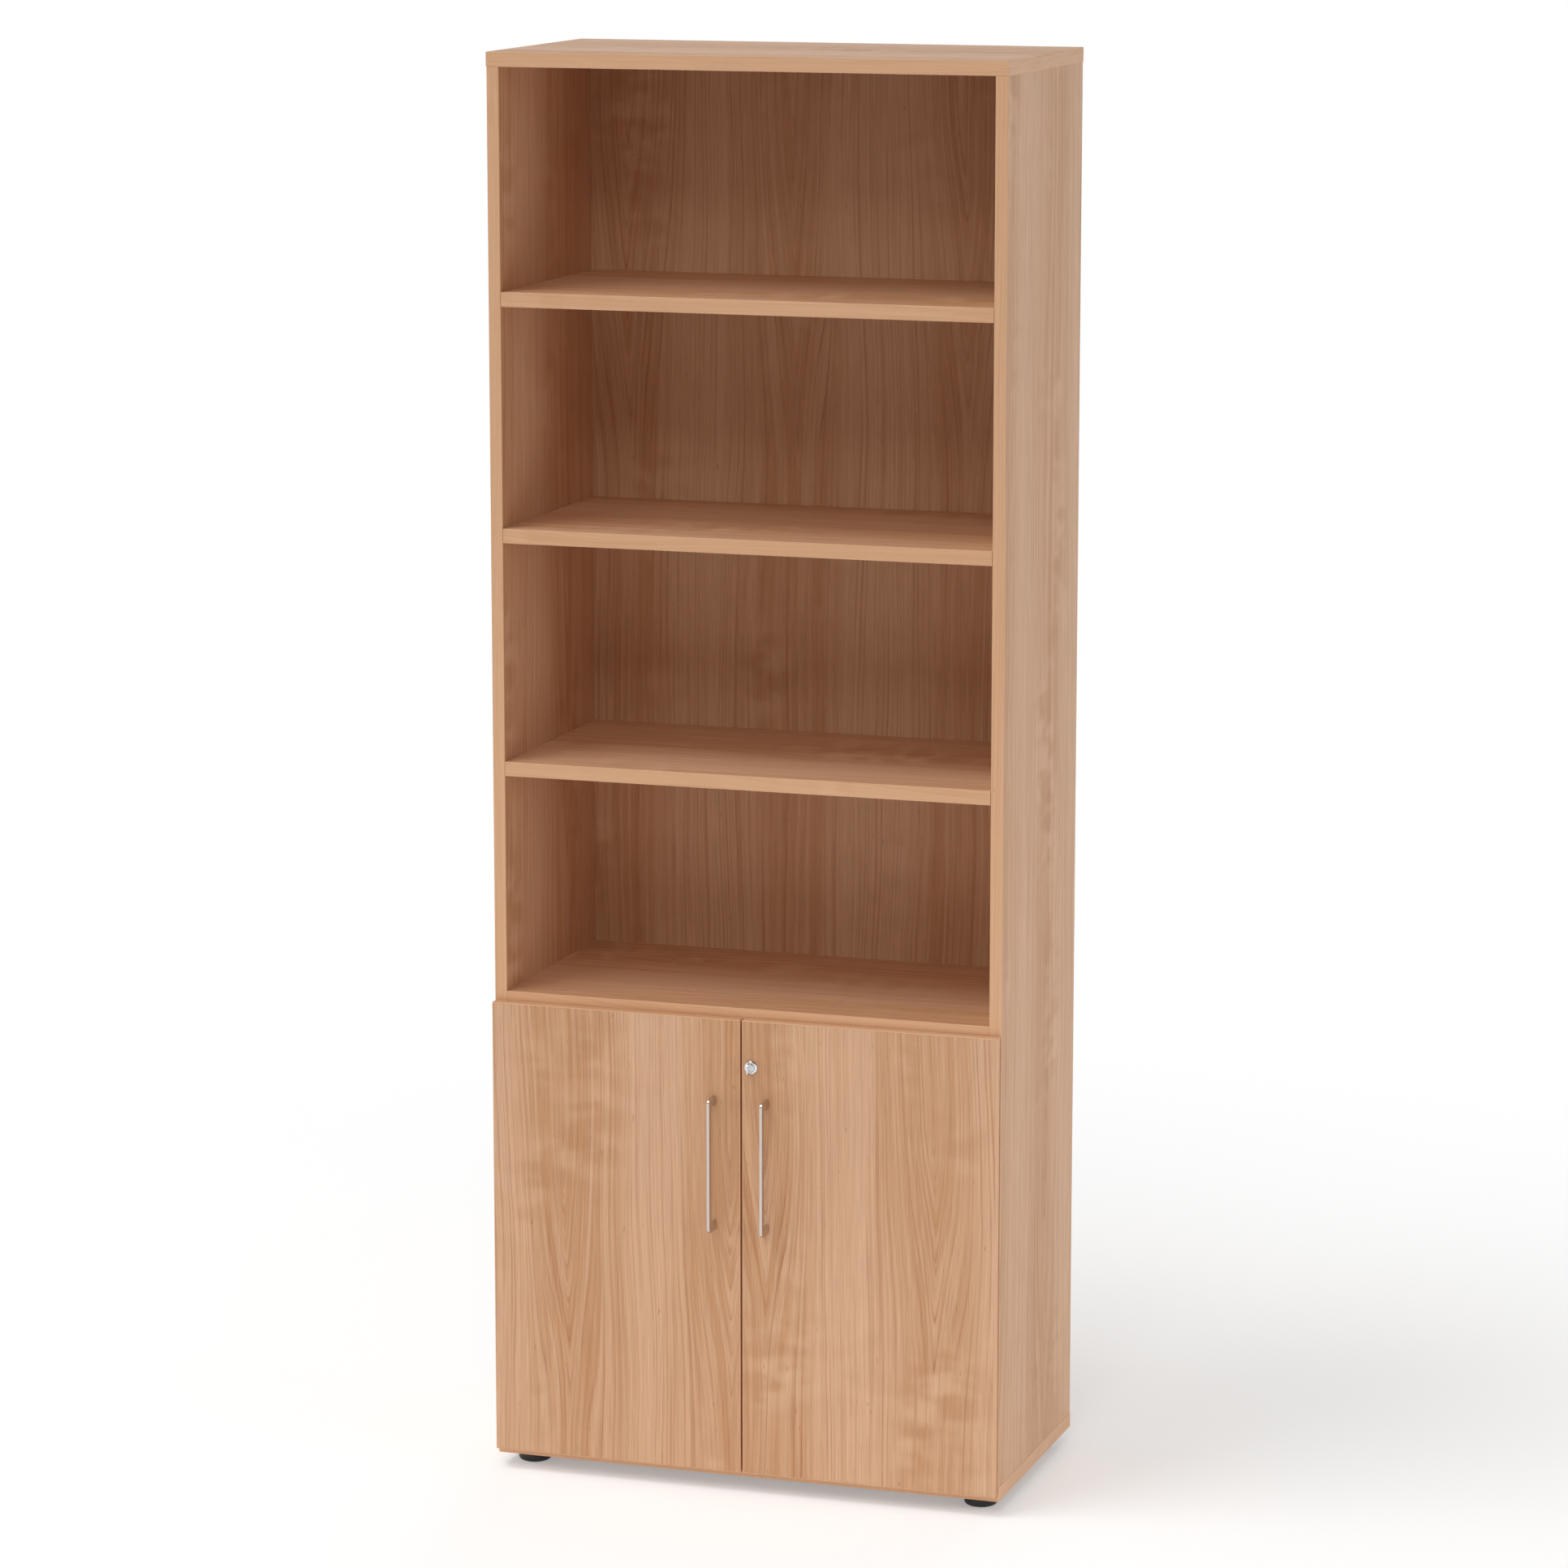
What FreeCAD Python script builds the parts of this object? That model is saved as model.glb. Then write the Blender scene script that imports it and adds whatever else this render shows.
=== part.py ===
import FreeCAD, Part
import math
import os

# Bookcase with cabinet doors, in millimetres, +Z up, with the doors facing -Y.
# The origin is on the floor under the middle of the outline, handles included.

# Carcass boards
overall_width = 800.0
carcass_depth = 402.0
board_thickness = 22.0
side_thickness = 19.0
side_setback = 1.0
compartment_height = 331.0
edge_radius = 1.0

# Levels of the boards, counted in compartments above the base panel
loose_shelf_levels = {"cabinet_shelf": 1, "shelf_lower": 3, "shelf_middle": 4, "shelf_upper": 5}
fixed_shelf_level = 2
top_level = 6

# Back panel in its grooves
back_thickness = 8.0
back_recess = 4.0
back_groove_depth = 7.0
back_groove_play = 0.1
back_panel_play = 0.5

# Loose shelves, and the tongued pins that carry them
shelf_end_play = 0.5
shelf_back_play = 0.8
cabinet_shelf_setback = 24.0
shelf_pin_radius = 2.5
shelf_pin_depth = 8.5
shelf_pin_from_front = 60.0
shelf_pin_from_back = 50.0
tongue_length = 10.0
tongue_width = 11.0
tongue_thickness = 2.5
tongue_corner = 3.0

# Dowels of the carcass joints
dowel_radius = 4.0
dowel_length = 34.0
dowel_depth_in_face = 12.0
dowel_inset = 50.0
dowel_end_play = 0.5

# Play of a fixed piece in its hole, and of a turning or sliding piece in its bore
fixing_play = 0.1
running_fit = 0.05

# Levelling feet
foot_height = 20.0
foot_radius = 25.5
foot_round = 6.0
foot_from_side = 41.5
foot_from_front = 48.0
foot_seat_gap = 0.2
foot_stud_radius = 4.0
foot_stud_in_pad = 8.5
foot_stud_short_of_insert = 2.0
foot_insert_wall = 2.0
foot_insert_cover = 3.0

# Doors
door_thickness = 16.0
door_side_reveal = 1.5
door_meeting_gap = 3.0
door_top_lap = 8.0
door_bottom_lap = 11.0
door_edge_radius = 1.5

# Concealed hinges, each turning on one pin inside its cup
hinge_from_door_end = 100.0
hinge_pin_radius = 1.25
hinge_pin_length = 15.0
hinge_pin_depth = 9.0
hinge_swing_clearance = 0.325
cup_radius = 17.5
cup_wall = 0.8
cup_from_edge = 3.0
cup_floor_clearance = 0.5
cup_flange_thickness = 1.0
cup_flange_rim = 2.0
cup_flange_trim = 3.0
cup_wing_radius = 6.5
cup_screw_offset = 5.5
cup_screw_spread = 24.0
lug_half_width = 2.8
lug_gap = 0.4
lug_length = 4.8
eye_radius = 2.2
eye_wall_clearance = 0.3
nose_half_width = 4.0
arm_thickness = 1.8
arm_half_width = 6.0
arm_bend_radius = 1.0
arm_side_clearance = 1.3
arm_offset_start = 3.0
arm_offset_end = 11.0
arm_flange_thickness = 1.2
arm_flange_clearance = 0.5
plate_thickness = 2.0
plate_setback = 37.0
plate_wing_length = 26.0
plate_wing_half_width = 7.0
plate_wing_corner = 4.0
plate_screw_spread = 16.0
rail_height = 5.5
rail_start = 14.0
rail_end = 60.0
rail_play = 0.3
clamp_screw_from_end = 11.0

# Bow handles
handle_projection = 32.0
handle_hole_spacing = 192.0
handle_leg_height = 14.0
handle_width = 4.5
handle_bar_depth = 10.0
handle_corner_radius = 8.0
handle_inner_radius = 4.0
handle_edge_radius = 0.8
handle_from_meeting_edge = 40.0
handle_below_door_top = 118.5
handle_screw_in_leg = 12.0

# Lock in the right door with its key, and its keeper on the left door
lock_from_meeting_edge = 15.0
lock_below_door_top = 71.0
lock_housing_radius = 8.0
lock_housing_behind = 6.0
lock_cylinder_radius = 6.0
lock_nose_projection = 5.5
lock_nose_radius = 1.0
rosette_radius = 10.5
rosette_rim = 1.0
rosette_height = 4.5
rosette_top_radius = 8.0
rosette_play = 0.4
keyway_width = 1.6
keyway_height = 8.0
keyway_depth = 12.0
key_blade_play = 0.1
key_blade_end_play = 1.0
key_bow_gap = 0.2
key_bow_length = 15.5
key_bow_height = 18.0
key_bow_thickness = 2.6
key_bow_round = 7.5
key_shoulder_round = 3.0
key_edge_round = 0.4
key_hole_radius = 2.0
key_hole_from_end = 4.5
nut_width = 22.0
nut_thickness = 4.0
cam_gap = 0.3
cam_thickness = 2.0
cam_width = 12.0
cam_reach = 32.0
cam_square = 7.0
cam_screw_length = 8.0
keeper_clearance = 0.5
keeper_from_meeting_edge = 3.0
keeper_width = 20.0
keeper_height = 48.0
keeper_pad_height = 18.0
keeper_base_thickness = 1.5
keeper_screw_spread = 16.0

# Slide bolt on the left door
bolt_from_meeting_edge = 62.0
bolt_stand_off = 10.0
bolt_rod_radius = 4.0
bolt_rod_length = 74.0
bolt_rod_chamfer = 1.0
bolt_travel = 12.0
bolt_clearance = 3.0
bolt_socket_play = 0.3
bolt_socket_end_play = 4.0
bolt_guide_width = 18.0
bolt_guide_depth = 16.0
bolt_guide_length = 56.0
bolt_guide_below_shelf = 10.0
bolt_guide_corner = 2.0
bolt_ear_length = 12.0
bolt_ear_thickness = 3.0
bolt_knob_radius = 2.75
bolt_knob_length = 8.5
bolt_knob_head_radius = 5.0
bolt_knob_head_thickness = 3.0
bolt_slot_play = 0.3

# Door bumpers
bumper_radius = 2.5
bumper_gap = 0.3
bumper_from_meeting_edge = 20.0

# Screws: wood screws in the doors, system screws in the sides, machine screws in metal
wood_screw_radius = 1.75
wood_screw_head_radius = 3.5
wood_screw_length = 12.0
system_screw_radius = 2.5
system_screw_head_radius = 4.2
system_screw_length = 12.0
machine_screw_radius = 2.0
machine_screw_head_radius = 4.0
screw_head_height = 2.2
screw_head_round = 0.6
screw_point = 2.0

point = FreeCAD.Vector
to_right = point(1, 0, 0)
to_left = point(-1, 0, 0)
to_front = point(0, -1, 0)
to_back = point(0, 1, 0)
upwards = point(0, 0, 1)
downwards = point(0, 0, -1)

# Sides and doors across the width, worked out from the sizes above
half_width = overall_width / 2
side_outer = half_width - side_setback
side_inner = side_outer - side_thickness
door_outer = side_outer - door_side_reveal
door_meeting = door_meeting_gap / 2

# The hinge pin stands as close to the cup's wall as its eye allows. The gap behind the door is
# what the door's rounded back edge needs to swing round the pin without touching the side panel.
cup_inside_radius = cup_radius - cup_wall
cup_x = -door_outer + cup_from_edge + cup_radius
cup_chord = math.sqrt(cup_inside_radius ** 2 - nose_half_width ** 2)
pin_x = cup_x - cup_chord + eye_wall_clearance + eye_radius
pin_from_edge = pin_x + door_outer
swing_radius = door_edge_radius + math.hypot(pin_from_edge - door_edge_radius, hinge_pin_depth - door_edge_radius)
door_gap = swing_radius + hinge_swing_clearance - hinge_pin_depth

# Planes from front to back
full_depth = handle_projection + door_thickness + door_gap + carcass_depth
carcass_rear = full_depth / 2
carcass_front = carcass_rear - carcass_depth
door_back = carcass_front - door_gap
door_front = door_back - door_thickness
pin_y = door_back - hinge_pin_depth
back_face = carcass_rear - back_recess - back_thickness

# Heights above the floor
level_pitch = compartment_height + board_thickness
base_top = foot_height + board_thickness
top_under = base_top + top_level * level_pitch - board_thickness
fixed_top = base_top + fixed_shelf_level * level_pitch
fixed_under = fixed_top - board_thickness
door_top = fixed_under + door_top_lap
door_bottom = base_top - door_bottom_lap
hinge_heights = {"upper": door_top - hinge_from_door_end, "lower": door_bottom + hinge_from_door_end}


def box(x_low, x_high, y_low, y_high, z_low, z_high):
    return Part.makeBox(x_high - x_low, y_high - y_low, z_high - z_low, point(x_low, y_low, z_low))


def rod(radius, start, end):
    return Part.makeCylinder(radius, start.distanceToPoint(end), start, end - start)


def mirrored(shape):
    """The same piece, or group of pieces, on the other side of the bookcase."""
    if isinstance(shape, list):
        return [mirrored(piece) for piece in shape]
    return shape.mirror(point(0, 0, 0), to_right)


def edges_on(solid, side, along):
    """Edges in one outer side of a solid that run along the given axes."""
    bounds = solid.BoundBox
    planes = {
        "front": ("Y", bounds.YMin),
        "back": ("Y", bounds.YMax),
        "left": ("X", bounds.XMin),
        "right": ("X", bounds.XMax),
        "top": ("Z", bounds.ZMax),
    }
    axis, place = planes[side]
    found = []
    for edge in solid.Edges:
        limits = edge.BoundBox
        lengths = {"x": limits.XLength, "y": limits.YLength, "z": limits.ZLength}
        direction = max(lengths, key=lengths.get)
        off_plane = max(abs(getattr(limits, axis + end) - place) for end in ("Min", "Max"))
        if off_plane < 0.01 and direction in along:
            found.append(edge)
    return found


def line(start, end):
    return Part.LineSegment(start, end).toShape()


def arc(start, through, end):
    return Part.Arc(start, through, end).toShape()


def revolved(outline, base, axis):
    """The solid that a closed outline of edges sweeps round an axis."""
    return Part.Face(Part.Wire(outline)).revolve(base, axis, 360)


def screw(seat, way, radius, head_radius, length):
    """A screw with a rounded pan head on its seat and a blunt point."""
    head_top = seat - way * screw_head_height
    head = rod(head_radius, seat, head_top)
    rim = [edge for edge in head.Edges if edge.Closed and edge.CenterOfMass.isEqual(head_top, 0.01)]
    head = head.makeFillet(screw_head_round, rim)
    point_start = seat + way * (length - screw_point)
    shank = rod(radius, seat, point_start)
    tip = Part.makeCone(radius, radius / 2, screw_point, point_start, way)
    return head.fuse([shank, tip]).removeSplitter()


def wood_screw(seat):
    return screw(seat, to_front, wood_screw_radius, wood_screw_head_radius, wood_screw_length)


def machine_screw(seat, way, length):
    return screw(seat, way, machine_screw_radius, machine_screw_head_radius, length)


def hole(seat, way, radius, length):
    """The hole for a fixed round piece that goes in at its seat."""
    return rod(radius + fixing_play, seat, seat + way * (length + fixing_play))


def wood_screw_holes(seats):
    return [hole(seat, to_front, wood_screw_radius, wood_screw_length) for seat in seats]


# Dowels that join the top, base and fixed shelf to the sides
dowels = []
dowel_holes = []
side_middle = (side_inner + side_outer) / 2
for y in (carcass_front + dowel_inset, (carcass_front + carcass_rear) / 2, carcass_rear - dowel_inset):
    for sign in (-1, 1):
        in_base = point(sign * side_middle, y, base_top - dowel_depth_in_face)
        in_top = point(sign * side_middle, y, top_under + dowel_depth_in_face)
        in_side = point(sign * (side_inner + dowel_depth_in_face), y, fixed_top - board_thickness / 2)
        for start, way in ((in_base, upwards), (in_top, downwards), (in_side, to_left * sign)):
            end = start + way * dowel_length
            dowels.append(rod(dowel_radius, start, end))
            room = way * dowel_end_play
            dowel_holes.append(rod(dowel_radius + fixing_play, start - room, end + room))


# Loose shelves on pins: each pin has a flat tongue under the shelf
def shelf_pin(seat):
    tongue = box(seat.x, seat.x + tongue_length, seat.y - tongue_width / 2, seat.y + tongue_width / 2,
                 seat.z + shelf_pin_radius - tongue_thickness, seat.z + shelf_pin_radius)
    tongue = tongue.makeFillet(tongue_corner, edges_on(tongue, "right", "z"))
    stem = rod(shelf_pin_radius, seat + to_left * shelf_pin_depth, seat + to_right * tongue_thickness)
    return tongue.fuse(stem).removeSplitter()


loose_shelves = {}
shelf_pins = []
side_holes = []
for name, level in loose_shelf_levels.items():
    shelf_top = base_top + level * level_pitch
    shelf_under = shelf_top - board_thickness
    shelf_end = side_inner - shelf_end_play
    shelf_front = carcass_front + (cabinet_shelf_setback if level < fixed_shelf_level else 0)
    shelf = box(-shelf_end, shelf_end, shelf_front, back_face - shelf_back_play, shelf_under, shelf_top)
    loose_shelves[name] = shelf.makeFillet(edge_radius, edges_on(shelf, "front", "x"))
    for y in (carcass_front + shelf_pin_from_front, back_face - shelf_pin_from_back):
        seat = point(-side_inner, y, shelf_under - shelf_pin_radius)
        shelf_pins += [shelf_pin(seat), mirrored(shelf_pin(seat))]
        side_holes.append(hole(seat, to_left, shelf_pin_radius, shelf_pin_depth))


# Concealed hinges of the left door. The right door has mirrored ones.
cup_bottom = pin_y - eye_radius - cup_floor_clearance - cup_wall
cup_face = door_back + cup_flange_thickness
leg_x = -side_inner + arm_side_clearance + arm_thickness / 2
web_x = -side_inner + plate_thickness + rail_height + arm_thickness / 2
web_face = web_x + arm_thickness / 2
nose_y = pin_y - eye_radius + arm_thickness / 2


def upright_edges_at(solid, corners):
    """Upright edges of a solid that stand on the given points of its plan."""
    found = []
    for edge in solid.Edges:
        limits = edge.BoundBox
        upright = limits.ZLength > max(limits.XLength, limits.YLength)
        middle = limits.Center
        if upright and any(math.hypot(middle.x - c.x, middle.y - c.y) < 0.01 for c in corners):
            found.append(edge)
    return found


def bent_strip(path, low, high):
    """Sheet metal of the arm's thickness, bent along a path in plan, between two heights."""
    left_side = []
    right_side = []
    inner_corners = []
    outer_corners = []
    ways = [point(end - start).normalize() for start, end in zip(path, path[1:])]
    for corner, way_in, way_out in zip(path, ways[:1] + ways, ways + ways[-1:]):
        across_in = upwards.cross(way_in)
        across = (across_in + upwards.cross(way_out)).normalize()
        offset = across * (arm_thickness / 2 / across.dot(across_in))
        left_side.append(corner + offset)
        right_side.append(corner - offset)
        turn = way_in.cross(way_out).z
        if turn:
            to_inside = offset if turn > 0 else offset * -1
            inner_corners.append(corner + to_inside)
            outer_corners.append(corner - to_inside)
    outline = left_side + right_side[::-1]
    strip = Part.Face(Part.makePolygon(outline + outline[:1])).extrude(upwards * (high - low))
    strip.translate(upwards * low)
    strip = strip.makeFillet(arm_bend_radius, upright_edges_at(strip, inner_corners))
    return strip.makeFillet(arm_bend_radius + arm_thickness, upright_edges_at(strip, outer_corners))


def clamp_seat(z):
    """Where the head of the screw that clamps the arm to its plate sits."""
    return point(web_face, carcass_front + rail_end - clamp_screw_from_end, z)


def plate_screw_seats(z):
    seat = point(-side_inner + plate_thickness, carcass_front + plate_setback, z)
    return [seat + downwards * plate_screw_spread, seat + upwards * plate_screw_spread]


def cup_screw_seats(z):
    seat = point(cup_x + cup_screw_offset, cup_face, z)
    return [seat + downwards * cup_screw_spread, seat + upwards * cup_screw_spread]


def hinge_arm(z):
    """Stamped arm: an eye round the pin, a nose into the cup, and a channel over the plate's rail."""
    path = [
        point(pin_x, nose_y, 0),
        point(leg_x, nose_y, 0),
        point(leg_x, carcass_front + arm_offset_start, 0),
        point(web_x, carcass_front + arm_offset_end, 0),
        point(web_x, carcass_front + rail_end, 0),
    ]
    arm = bent_strip(path, z - arm_half_width, z + arm_half_width)
    nose_end = leg_x - arm_thickness / 2 - arm_bend_radius
    flange_low = -side_inner + plate_thickness + arm_flange_clearance
    flange_front = carcass_front + rail_start
    flange_rear = carcass_front + rail_end
    eye = rod(eye_radius, point(pin_x, pin_y, z - nose_half_width), point(pin_x, pin_y, z + nose_half_width))
    for sign in (-1, 1):
        nose_side, arm_side = sorted((z + sign * nose_half_width, z + sign * arm_half_width))
        arm = arm.cut(box(pin_x - eye_radius, nose_end, pin_y - eye_radius, pin_y, nose_side, arm_side))
        low, high = sorted((z + sign * arm_half_width, z + sign * (arm_half_width + arm_flange_thickness)))
        arm = arm.fuse(box(flange_low, web_face, flange_front, flange_rear, low, high))
    bore = rod(hinge_pin_radius + running_fit, point(pin_x, pin_y, z - arm_half_width),
               point(pin_x, pin_y, z + arm_half_width))
    clamp_hole = hole(clamp_seat(z), to_left, machine_screw_radius, arm_thickness)
    return arm.fuse(eye).cut([bore, clamp_hole]).removeSplitter()


def hinge_plate(z):
    """Mounting plate: two wings screwed to the side panel, and the rail that carries the arm."""
    middle = carcass_front + plate_setback
    wing = box(-side_inner, -side_inner + plate_thickness, middle - plate_wing_half_width,
               middle + plate_wing_half_width, z - plate_wing_length, z + plate_wing_length)
    corners = [edge for edge in wing.Edges if edge.BoundBox.XLength > plate_thickness / 2]
    wing = wing.makeFillet(plate_wing_corner, corners)
    rail_half_width = arm_half_width - rail_play
    rail = box(-side_inner, web_face - arm_thickness, carcass_front + rail_start,
               carcass_front + rail_end, z - rail_half_width, z + rail_half_width)
    holes = [hole(seat, to_left, system_screw_radius, plate_thickness) for seat in plate_screw_seats(z)]
    holes.append(hole(clamp_seat(z), to_left, machine_screw_radius, arm_thickness + rail_height))
    return wing.fuse(rail).cut(holes).removeSplitter()


def hinge_cup(z):
    """Pressed cup with a screw flange, and two lugs inside that hold the hinge pin."""
    bottom = point(cup_x, cup_bottom, z)
    flange_base = point(cup_x, door_back, z)
    rim = point(cup_x, cup_face, z)
    cup = rod(cup_radius, bottom, rim)
    flange_radius = cup_radius + cup_flange_rim
    wing_x = cup_x + cup_screw_offset
    wing = box(wing_x - cup_wing_radius, wing_x + cup_wing_radius, door_back, cup_face,
               z - cup_screw_spread, z + cup_screw_spread)
    wing_ends = [rod(cup_wing_radius, seat + to_front * cup_flange_thickness, seat) for seat in cup_screw_seats(z)]
    inside = rod(cup_inside_radius, bottom + to_back * cup_wall, rim)
    trim = box(cup_x - flange_radius, pin_x - cup_flange_trim, door_back, cup_face,
               z - flange_radius, z + flange_radius)
    shell = cup.fuse([rod(flange_radius, flange_base, rim), wing] + wing_ends).cut([inside, trim])
    lug_zone = rod(cup_inside_radius + cup_wall / 2, bottom + to_back * (cup_wall / 2), flange_base)
    lug_start = nose_half_width + lug_gap
    lugs = []
    for sign in (-1, 1):
        low, high = sorted((z + sign * lug_start, z + sign * (lug_start + lug_length)))
        lug = box(pin_x - lug_half_width, pin_x + lug_half_width, cup_bottom, pin_y + lug_half_width, low, high)
        lugs.append(lug.common(lug_zone))
    holes = [hole(seat, to_front, wood_screw_radius, cup_flange_thickness) for seat in cup_screw_seats(z)]
    half_bore = upwards * (hinge_pin_length / 2 + fixing_play)
    pin_middle = point(pin_x, pin_y, z)
    holes.append(rod(hinge_pin_radius + running_fit, pin_middle - half_bore, pin_middle + half_bore))
    return shell.fuse(lugs).cut(holes).removeSplitter()


hinge_pins = []
hinge_plate_screws = []
hinge_cup_screws = []
door_holes = []
for z in hinge_heights.values():
    half_pin = upwards * (hinge_pin_length / 2)
    pin_middle = point(pin_x, pin_y, z)
    hinge_pins.append(rod(hinge_pin_radius, pin_middle - half_pin, pin_middle + half_pin))
    for seat in plate_screw_seats(z):
        hinge_plate_screws.append(
            screw(seat, to_left, system_screw_radius, system_screw_head_radius, system_screw_length)
        )
        side_holes.append(hole(seat, to_left, system_screw_radius, system_screw_length))
    hinge_plate_screws.append(machine_screw(clamp_seat(z), to_left, arm_thickness + rail_height))
    hinge_cup_screws += [wood_screw(seat) for seat in cup_screw_seats(z)]
    door_holes += wood_screw_holes(cup_screw_seats(z))
    door_holes.append(hole(point(cup_x, door_back, z), to_front, cup_radius, door_back - cup_bottom))

# Carcass boards, grooved for the back panel and bored for dowels, pins and screws
groove_reach = side_inner + back_groove_depth
back_groove = box(-groove_reach, groove_reach, back_face - back_groove_play,
                  back_face + back_thickness + back_groove_play,
                  base_top - back_groove_depth, top_under + back_groove_depth)
back_reach = groove_reach - back_panel_play
back_lap = back_groove_depth - back_panel_play
back_panel = box(-back_reach, back_reach, back_face, back_face + back_thickness,
                 base_top - back_lap, top_under + back_lap)


def end_board(low):
    """Top or base panel, with rounded edges on its front and both ends."""
    board = box(-half_width, half_width, carcass_front, carcass_rear, low, low + board_thickness)
    edges = edges_on(board, "front", "xz") + edges_on(board, "left", "y") + edges_on(board, "right", "y")
    return board.makeFillet(edge_radius, edges).cut([back_groove] + dowel_holes)


def side_board():
    """Left side panel, with rounded front edges."""
    board = box(-side_outer, -side_inner, carcass_front, carcass_rear, base_top, top_under)
    board = board.makeFillet(edge_radius, edges_on(board, "front", "z"))
    return board.cut([back_groove] + dowel_holes + side_holes)


top_panel = end_board(top_under)
base_panel = end_board(foot_height)
side_left = side_board()
fixed_shelf = box(-side_inner, side_inner, carcass_front, back_face, fixed_under, fixed_top)
fixed_shelf = fixed_shelf.makeFillet(edge_radius, edges_on(fixed_shelf, "front", "x")).cut(dowel_holes)

# Levelling feet: a plastic pad on a steel stud, which screws into an insert in the base panel
foot_x = half_width - foot_from_side
foot_places = {
    "front_left": point(-foot_x, carcass_front + foot_from_front, 0),
    "front_right": point(foot_x, carcass_front + foot_from_front, 0),
    "rear_left": point(-foot_x, carcass_rear - foot_from_front, 0),
    "rear_right": point(foot_x, carcass_rear - foot_from_front, 0),
}
pad_top = foot_height - foot_seat_gap
insert_length = board_thickness - foot_insert_cover
insert_bore = foot_stud_radius + running_fit
insert_radius = insert_bore + foot_insert_wall


def foot_pad(middle):
    """Round pad whose flank curves in to the sole, with a socket for the stud."""
    sole = middle + to_right * (foot_radius - foot_round)
    flank = middle + to_right * foot_radius + upwards * foot_round
    slope = math.sqrt(0.5)
    bulge = sole + to_right * (foot_round * slope) + upwards * (foot_round * (1 - slope))
    shoulder = middle + to_right * foot_radius + upwards * pad_top
    crown = middle + upwards * pad_top
    outline = [
        line(middle, sole),
        arc(sole, bulge, flank),
        line(flank, shoulder),
        line(shoulder, crown),
        line(crown, middle),
    ]
    return revolved(outline, middle, upwards).cut(hole(crown, downwards, foot_stud_radius, foot_stud_in_pad))


def foot_stud(middle):
    low = middle + upwards * (pad_top - foot_stud_in_pad)
    high = middle + upwards * (foot_height + insert_length - foot_stud_short_of_insert)
    return rod(foot_stud_radius, low, high)


foot_inserts = []
for middle in foot_places.values():
    under = middle + upwards * foot_height
    insert_top = under + upwards * insert_length
    foot_inserts.append(rod(insert_radius, under, insert_top).cut(rod(insert_bore, under, insert_top)))
    base_panel = base_panel.cut(hole(under, upwards, insert_radius, insert_length))

# Doors: one board each, rounded all round, bored for the hinges and the handle
handle_length = handle_hole_spacing + handle_leg_height
handle_high = door_top - handle_below_door_top
handle_low = handle_high - handle_length
handle_x = -door_meeting - handle_from_meeting_edge
handle_screw_length = door_thickness + handle_screw_in_leg
handle_screw_seats = [
    point(handle_x, door_back, handle_low + handle_leg_height / 2),
    point(handle_x, door_back, handle_high - handle_leg_height / 2),
]
handle_holes = [hole(seat, to_front, machine_screw_radius, handle_screw_length) for seat in handle_screw_seats]
handle_screws = [machine_screw(seat, to_front, handle_screw_length) for seat in handle_screw_seats]
door_left = box(-door_outer, -door_meeting, door_front, door_back, door_bottom, door_top)
door_left = door_left.makeFillet(door_edge_radius, door_left.Edges).cut(door_holes + handle_holes)
door_right = mirrored(door_left)


def bow_handle():
    """Flat bow: an upright bar on two legs, with round corners and eased edges."""
    left = handle_x - handle_width / 2
    right = handle_x + handle_width / 2
    tip = door_front - handle_projection
    bow = box(left, right, tip, door_front, handle_low, handle_high)
    bow = bow.makeFillet(handle_corner_radius, edges_on(bow, "front", "x"))
    space = box(left, right, tip + handle_bar_depth, door_front,
                handle_low + handle_leg_height, handle_high - handle_leg_height)
    bow = bow.cut(space.makeFillet(handle_inner_radius, edges_on(space, "front", "x")))
    bow = bow.makeFillet(handle_edge_radius, edges_on(bow, "left", "yz") + edges_on(bow, "right", "yz"))
    return bow.cut(handle_holes)


handle_left = bow_handle()

# Rubber bumpers between the doors and the front edges of the fixed shelf and the base panel
door_bumpers = []
for z in ((fixed_under + door_top) / 2, (base_top + door_bottom) / 2):
    seat = point(-door_meeting - bumper_from_meeting_edge, door_back, z)
    door_bumpers.append(rod(bumper_radius, seat, seat + to_back * (door_gap - bumper_gap)))

# Lock of the right door: a housing with its rosette and nut, and the cylinder and key that turn the cam
lock_x = door_meeting + lock_from_meeting_edge
lock_z = door_top - lock_below_door_top
housing_end = door_back + lock_housing_behind
cylinder_end = housing_end + cam_gap
cam_end = cylinder_end + cam_thickness
cam_screw_seat = point(lock_x, cam_end, lock_z)
lock_nose = door_front - lock_nose_projection


def along_lock(radius, start, end):
    return rod(radius, point(lock_x, start, lock_z), point(lock_x, end, lock_z))


def square_along_lock(width, start, end):
    half = width / 2
    return box(lock_x - half, lock_x + half, start, end, lock_z - half, lock_z + half)


lock_housing = along_lock(lock_housing_radius, door_front, housing_end)
lock_housing = lock_housing.cut(along_lock(lock_cylinder_radius + running_fit, door_front, housing_end))
door_right = door_right.cut(along_lock(lock_housing_radius + fixing_play, door_front, door_back))


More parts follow.
